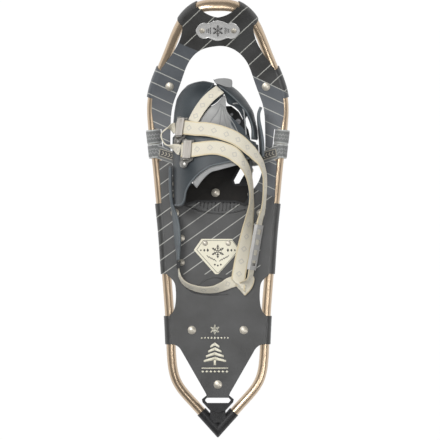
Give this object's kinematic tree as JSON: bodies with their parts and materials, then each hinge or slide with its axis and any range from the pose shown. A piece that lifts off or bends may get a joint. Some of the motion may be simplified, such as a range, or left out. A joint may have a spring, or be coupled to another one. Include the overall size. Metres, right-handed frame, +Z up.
{
  "type": "snowshoe",
  "caption": "Recreational snowshoe with a bent tube frame, wrapped deck, sprung toe binding with cam buckles and webbing, and toe and heel crampons.",
  "frame": {"origin": "on the ground under the middle of the snowshoe, at the level of the crampon points", "axes": "+Y to the upturned nose, +Z up, +X to the wearer's right"},
  "size_m": [0.1932, 0.5839, 0.1186],
  "materials": {
    "bronze_tube": "satin anodised bronze",
    "black_plastic": "moulded black nylon",
    "deck_skin": "coated woven sheet",
    "emblem_metal": "brushed plate",
    "rivet_metal": "tumbled rivet",
    "badge_enamel": "satin cream paint",
    "crampon_steel": "stamped steel",
    "grey_webbing": "woven suspension webbing",
    "footbed_rubber": "ribbed footbed",
    "slate_shell": "flexible moulded wrap",
    "grey_shell": "light lining",
    "cream_webbing": "printed flat webbing",
    "buckle_steel": "stamped buckle",
    "lever_plastic": "cam lever",
    "slate_rubber": "rubber arm",
    "slider_plastic": "ladder sleeve"
  },
  "bodies": {
    "frame": {"frame_tube": "bronze_tube", "tail_cap": "black_plastic", "deck": "deck_skin", "nose_plate": "emblem_metal", "nose_plate_rivets": "rivet_metal", "badge": "badge_enamel", "badge_rivets": "rivet_metal", "deck_rivets": "rivet_metal", "heel_crampon": "crampon_steel", "heel_crampon_rivets": "rivet_metal", "suspension_strap_left": "grey_webbing", "suspension_strap_right": "grey_webbing"},
    "binding": {"base_plate": "black_plastic", "footbed": "footbed_rubber", "footbed_rivet": "rivet_metal", "toe_crampon": "crampon_steel", "crampon_rivets": "rivet_metal", "suspension_rivets": "rivet_metal", "toe_wing_left": "slate_shell", "toe_wing_right": "slate_shell", "instep_wing": "grey_shell", "toe_lining": "slate_shell", "rear_wing": "slate_shell", "ankle_liner": "grey_shell", "side_wall_right": "slate_shell", "wing_rivets": "rivet_metal", "toe_strap": "cream_webbing", "ball_strap": "cream_webbing", "instep_strap": "cream_webbing", "fold_strap": "cream_webbing", "pull_loop": "cream_webbing", "heel_strap": "cream_webbing", "buckle_base_front": "buckle_steel", "buckle_base_rear": "buckle_steel", "buckle_pin_front": "rivet_metal", "buckle_pin_rear": "rivet_metal", "buckle_rivet_front": "buckle_steel", "buckle_rivet_rear": "buckle_steel", "heel_arm_left": "slate_rubber", "toe_arm_right": "slate_rubber", "heel_loop": "black_plastic"},
    "lever_front": {"lever_front": "lever_plastic"},
    "lever_rear": {"lever_rear": "lever_plastic"},
    "strap_slider": {"strap_slider": "slider_plastic"}
  },
  "joints": [
    {"name": "binding_pivot", "type": "hinge", "parent": "frame", "child": "binding", "pos_m": [0, 0.079, 0.0382], "axis": [-1, 0, 0], "range_deg": [0, 38], "stiffness_Nm_per_rad": 2.2, "deforming": ["suspension_strap_left", "suspension_strap_right"]},
    {"name": "lever_front_hinge", "type": "hinge", "parent": "binding", "child": "lever_front", "pos_m": [-0.05216, 0.12218, 0.09626], "axis": [-0.145, -0.9819, 0.1221], "range_deg": [0, 75]},
    {"name": "lever_rear_hinge", "type": "hinge", "parent": "binding", "child": "lever_rear", "pos_m": [-0.04323, 0.09234, 0.10978], "axis": [-0.0819, -0.9908, 0.1073], "range_deg": [0, 75]},
    {"name": "strap_slide", "type": "slide", "parent": "binding", "child": "strap_slider", "axis": [0.1704, 0.9854, 0], "range_m": [-0.007, 0.006]}
  ]
}
